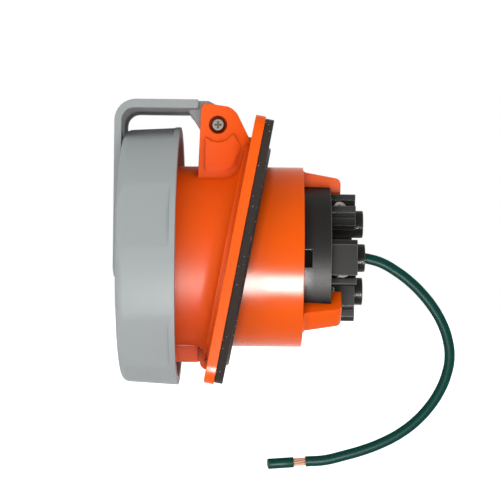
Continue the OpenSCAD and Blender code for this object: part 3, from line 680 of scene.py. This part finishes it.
def turned_along(start, end):
    """Matrix that puts Z on the line from start to end, with the origin at start."""
    along = end - start
    return Matrix.Translation(start) @ along.to_track_quat("Z", "Y").to_matrix().to_4x4()


def rod(bm, radius, length, sides):
    """Adds a closed round rod that stands on the origin, along Z."""
    bmesh.ops.create_cone(
        bm, cap_ends=True, segments=sides, radius1=radius, radius2=radius, depth=length,
        matrix=Matrix.Translation((0, 0, length / 2)))


def strand_bundle(length, radius, count):
    """Twisted strands round a core, along Z."""
    bm = bmesh.new()
    share = math.sin(math.pi / count)
    strand_r = radius * share / (1 + share)
    out = Matrix.Translation((radius - strand_r, 0, 0))
    lift = Matrix.Translation((0, 0, length / STRAND_STEPS))
    twist = Matrix.Rotation(STRAND_TURN / STRAND_STEPS, 4, "Z")
    for index in range(count):
        spot = Matrix.Rotation(math.tau * index / count, 4, "Z") @ out
        ring = bmesh.ops.create_circle(bm, segments=STRAND_SIDES, radius=strand_r, matrix=spot)["verts"]
        edges = list({edge for vert in ring for edge in vert.link_edges})
        for _ in range(STRAND_STEPS):
            grown = bmesh.ops.extrude_edge_only(bm, edges=edges)["geom"]
            edges = only(grown, bmesh.types.BMEdge)
            bmesh.ops.transform(bm, matrix=twist @ lift, verts=only(grown, bmesh.types.BMVert))
    rod(bm, radius - CORE_DEPTH * strand_r, length, CORE_SIDES)
    bmesh.ops.recalc_face_normals(bm, faces=bm.faces)
    for face in bm.faces:
        face.smooth = len(face.verts) == 4
    return bm


class RECEPTACLE_OT_lead(bpy.types.Operator):
    """Makes the green ground lead, its bared strands and the slug of insulation on its end"""

    bl_idname = "receptacle.lead"
    bl_label = "Ground Lead"

    def execute(self, context):
        sizes = context.scene.receptacle_lead
        lead = self.insulation(context, sizes)
        strands = self.strands(context, sizes)
        slug = self.slug(context, sizes)
        return {"FINISHED"}

    def insulation(self, context, sizes):
        """The long tube of insulation, one smooth curve through the route's points."""
        curve = bpy.data.curves.new("lead_insulation", "CURVE")
        curve.dimensions = "3D"
        curve.bevel_depth = sizes.diameter / 2
        curve.bevel_resolution = TUBE_ROUND
        curve.resolution_u = TUBE_STEPS
        curve.use_fill_caps = True
        spline = curve.splines.new("BEZIER")
        spline.bezier_points.add(len(LEAD_ROUTE) - 1)
        for point, flat in zip(spline.bezier_points, LEAD_ROUTE):
            point.co = lead_point(flat)
            point.handle_left_type = point.handle_right_type = "AUTO"
        curve.materials.append(finish_of(context, "green_insulation"))
        lead = bpy.data.objects.new("lead_insulation", curve)
        context.scene.collection.objects.link(lead)
        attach(lead, SOCKET)
        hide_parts("ground_lead")
        return lead

    def strands(self, context, sizes):
        """Copper that shows between the lead and the slug."""
        start, end = lead_point(LEAD_ROUTE[-1]), lead_point(STRIP_END)
        bm = strand_bundle((end - start).length, sizes.copper / 2, sizes.strands)
        bmesh.ops.transform(bm, matrix=turned_along(start, end), verts=bm.verts)
        return put("lead_strands", bm, context, SOCKET, "bare_copper", "lead_copper")

    def slug(self, context, sizes):
        """Short end of insulation with a slanting cut."""
        start, end = lead_point(STRIP_END), lead_point(SLUG_END)
        length = (end - start).length
        bm = bmesh.new()
        rod(bm, sizes.diameter / 2, length, SLUG_SIDES)
        cut = bmesh.ops.bisect_plane(
            bm, geom=bm.verts[:] + bm.edges[:] + bm.faces[:], plane_co=(0, 0, length - SLUG_CUT),
            plane_no=SLUG_SLANT, clear_outer=True)["geom_cut"]
        bmesh.ops.edgeloop_fill(bm, edges=only(cut, bmesh.types.BMEdge))
        bmesh.ops.recalc_face_normals(bm, faces=bm.faces)
        bevel(bm, sharp_edges(bm), SLUG_EDGE)
        smooth_by_angle(bm)
        bmesh.ops.transform(bm, matrix=turned_along(start, end), verts=bm.verts)
        return put("lead_slug_finished", bm, context, SOCKET, "green_insulation", "lead_slug")


class RECEPTACLE_OT_stage(bpy.types.Operator):
    """Sets up the camera, the pale floor, the white surroundings and the soft lamps"""

    bl_idname = "receptacle.stage"
    bl_label = "Studio"

    def execute(self, context):
        stage = context.scene.receptacle_stage
        context.scene.view_settings.view_transform = "Standard"
        self.camera(context, stage)
        self.floor(context, stage)
        self.world(context, stage)
        for name, settings in SOFTBOXES.items():
            self.lamp(context, name, *settings).visible_glossy = False
        self.glint(context)
        return {"FINISHED"}

    def camera(self, context, stage):
        """Level camera that looks square at the side of the part, and leans a little."""
        data = bpy.data.cameras.new("camera")
        data.lens = stage.lens
        data.clip_start = stage.distance / 100
        camera = bpy.data.objects.new("camera", data)
        beside, above = CAMERA_SHIFT
        camera.matrix_world = (
            Matrix.Translation((beside, -stage.distance, above))
            @ Matrix.Rotation(math.pi / 2, 4, "X") @ Matrix.Rotation(stage.roll, 4, "Z"))
        context.scene.collection.objects.link(camera)
        context.scene.camera = camera

    def floor(self, context, stage):
        """Wide pale floor that looks white and takes the part's soft shadow."""
        bm = bmesh.new()
        down = Matrix.Translation((0, 0, CAD_BOX[0].z - stage.drop))
        bmesh.ops.create_grid(bm, x_segments=1, y_segments=1, size=FLOOR_HALF, matrix=down)
        mesh = bpy.data.meshes.new("floor")
        bm.to_mesh(mesh)
        bm.free()
        finish = Finish("floor_white", Roughness=0.9, Base_Color=(0.9, 0.9, 0.9, 1), Specular_IOR_Level=0.0)
        finish.set(Emission_Color=finish.mix(BLACK, WHITE, finish.seen()), Emission_Strength=FLOOR_GLOW)
        mesh.materials.append(finish.material)
        floor = bpy.data.objects.new("floor", mesh)
        context.scene.collection.objects.link(floor)

    def world(self, context, stage):
        """White to the eye and in reflections, an even soft light otherwise."""
        world = bpy.data.worlds.new("studio")
        world.use_nodes = True
        world.node_tree.nodes.clear()
        nodes = Nodes(world.node_tree)
        even, white = [
            nodes.node("ShaderNodeBackground", {}, {"Color": WHITE, "Strength": strength})
            for strength in (stage.ambient, 1)]
        sky = nodes.node("ShaderNodeMixShader", {}, {0: nodes.seen(), 1: even, 2: white})
        nodes.node("ShaderNodeOutputWorld", {}, {"Surface": sky})
        context.scene.world = world

    def glint(self, context):
        """Small low lamp that shines on the plastics alone, since metal and flat rubber glare in it."""
        lamp = self.lamp(context, "glint_low", *GLINT)
        lamp.visible_diffuse = False
        shown = bpy.data.collections.new("glint_receivers")
        finishes = [finish_of(context, slot) for slot in PLASTICS]
        for piece in context.scene.objects:
            if piece.active_material in finishes:
                shown.objects.link(piece)
        lamp.light_linking.receiver_collection = shown

    def lamp(self, context, name, place, size, power):
        """Soft rectangular lamp that shines on the origin and stays out of the camera's sight."""
        data = bpy.data.lights.new(name, "AREA")
        data.shape = "RECTANGLE"
        data.size, data.size_y = size
        data.energy = power
        lamp = bpy.data.objects.new(name, data)
        lamp.location = place
        lamp.rotation_euler = (-Vector(place)).to_track_quat("-Z", "Y").to_euler()
        lamp.visible_camera = False
        context.scene.collection.objects.link(lamp)
        return lamp


class RECEPTACLE_PT_sidebar(bpy.types.Panel):
    """Lists the receptacle's sizes, colours and steps"""

    bl_idname = "RECEPTACLE_PT_sidebar"
    bl_label = "Receptacle"
    bl_space_type = "VIEW_3D"
    bl_region_type = "UI"
    bl_category = "Receptacle"

    def draw(self, context):
        for group in GROUPS:
            settings = getattr(context.scene, group)
            column = self.layout.column()
            for name in settings.__annotations__:
                column.prop(settings, name)
        for step in STEPS:
            self.layout.operator(step.bl_idname)


GROUPS = {
    "receptacle_colours": ReceptacleColours,
    "receptacle_edges": ReceptacleEdges,
    "receptacle_lead": ReceptacleLead,
    "receptacle_stage": ReceptacleStage,
}
STEPS = (
    RECEPTACLE_OT_lead,
    RECEPTACLE_OT_housing,
    RECEPTACLE_OT_cover,
    RECEPTACLE_OT_contacts,
    RECEPTACLE_OT_terminals,
    RECEPTACLE_OT_stage,
)
CLASSES = (*GROUPS.values(), *STEPS, RECEPTACLE_PT_sidebar)


def register():
    for cls in CLASSES:
        bpy.utils.register_class(cls)
    for name, group in GROUPS.items():
        setattr(bpy.types.Scene, name, PointerProperty(type=group))


def unregister():
    for name in GROUPS:
        delattr(bpy.types.Scene, name)
    for cls in reversed(CLASSES):
        bpy.utils.unregister_class(cls)


def main():
    register()
    bpy.ops.receptacle.lead()
    bpy.ops.receptacle.housing()
    bpy.ops.receptacle.cover()
    bpy.ops.receptacle.contacts()
    bpy.ops.receptacle.terminals()
    bpy.ops.receptacle.stage()


if __name__ == "__main__":
    main()
